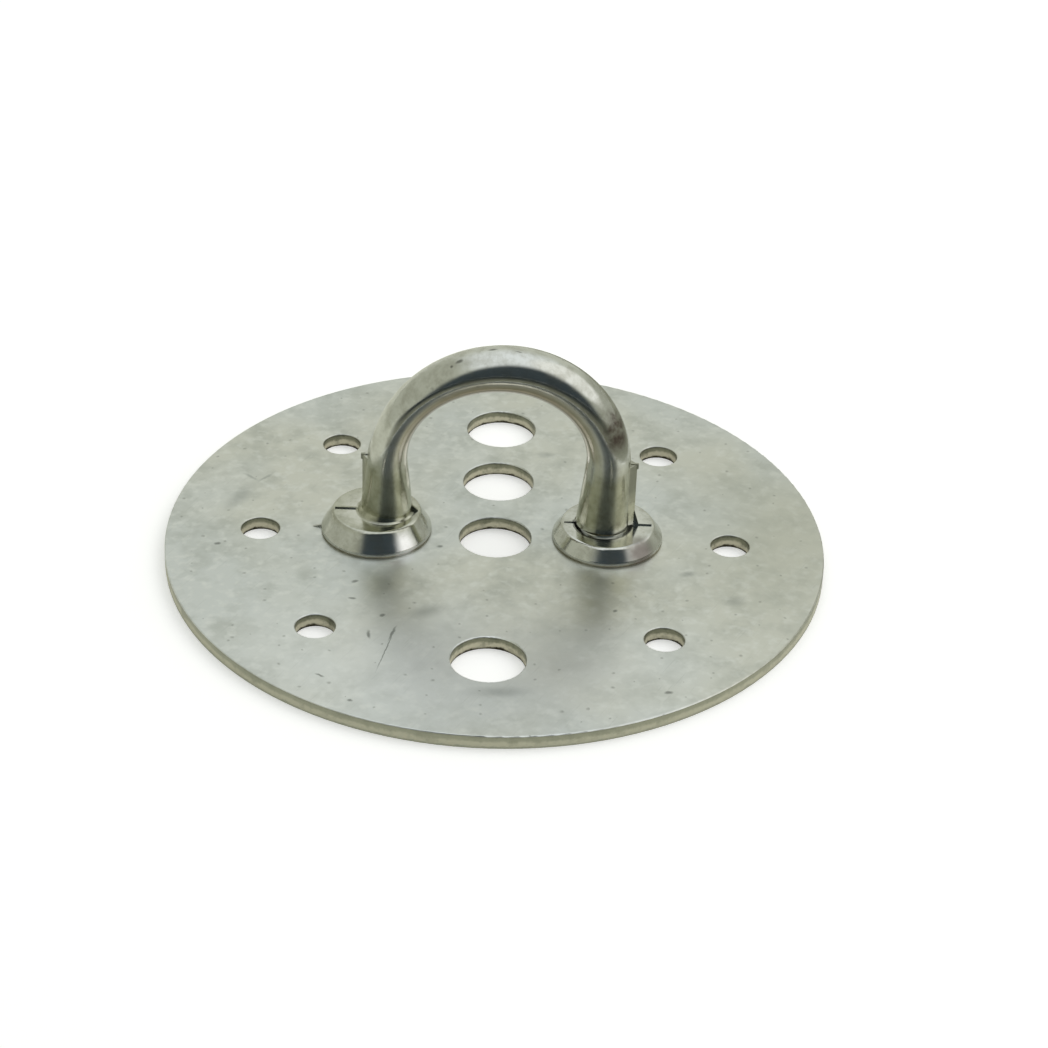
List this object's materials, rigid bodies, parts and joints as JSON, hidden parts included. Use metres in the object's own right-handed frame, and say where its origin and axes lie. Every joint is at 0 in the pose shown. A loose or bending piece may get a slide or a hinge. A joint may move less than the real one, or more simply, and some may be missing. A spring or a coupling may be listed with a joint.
{
  "type": "ceiling hook",
  "caption": "Round punched steel ceiling plate with a bent rod loop riveted to it, a row of cable holes and screw holes near the edge.",
  "frame": {"origin": "centre of the plate's back face, the face that lies against the ceiling", "axes": "+Z away from the ceiling towards the loop, X from leg to leg of the loop, Y along the row of cable holes"},
  "size_m": [0.071, 0.071, 0.0244],
  "materials": {
    "zinc_sheet": "dull zinc plated sheet",
    "zinc_rod": "bright zinc plated rod"
  },
  "bodies": {
    "root": {"ceiling_plate": "zinc_sheet", "hook_loop": "zinc_rod"}
  },
  "joints": []
}
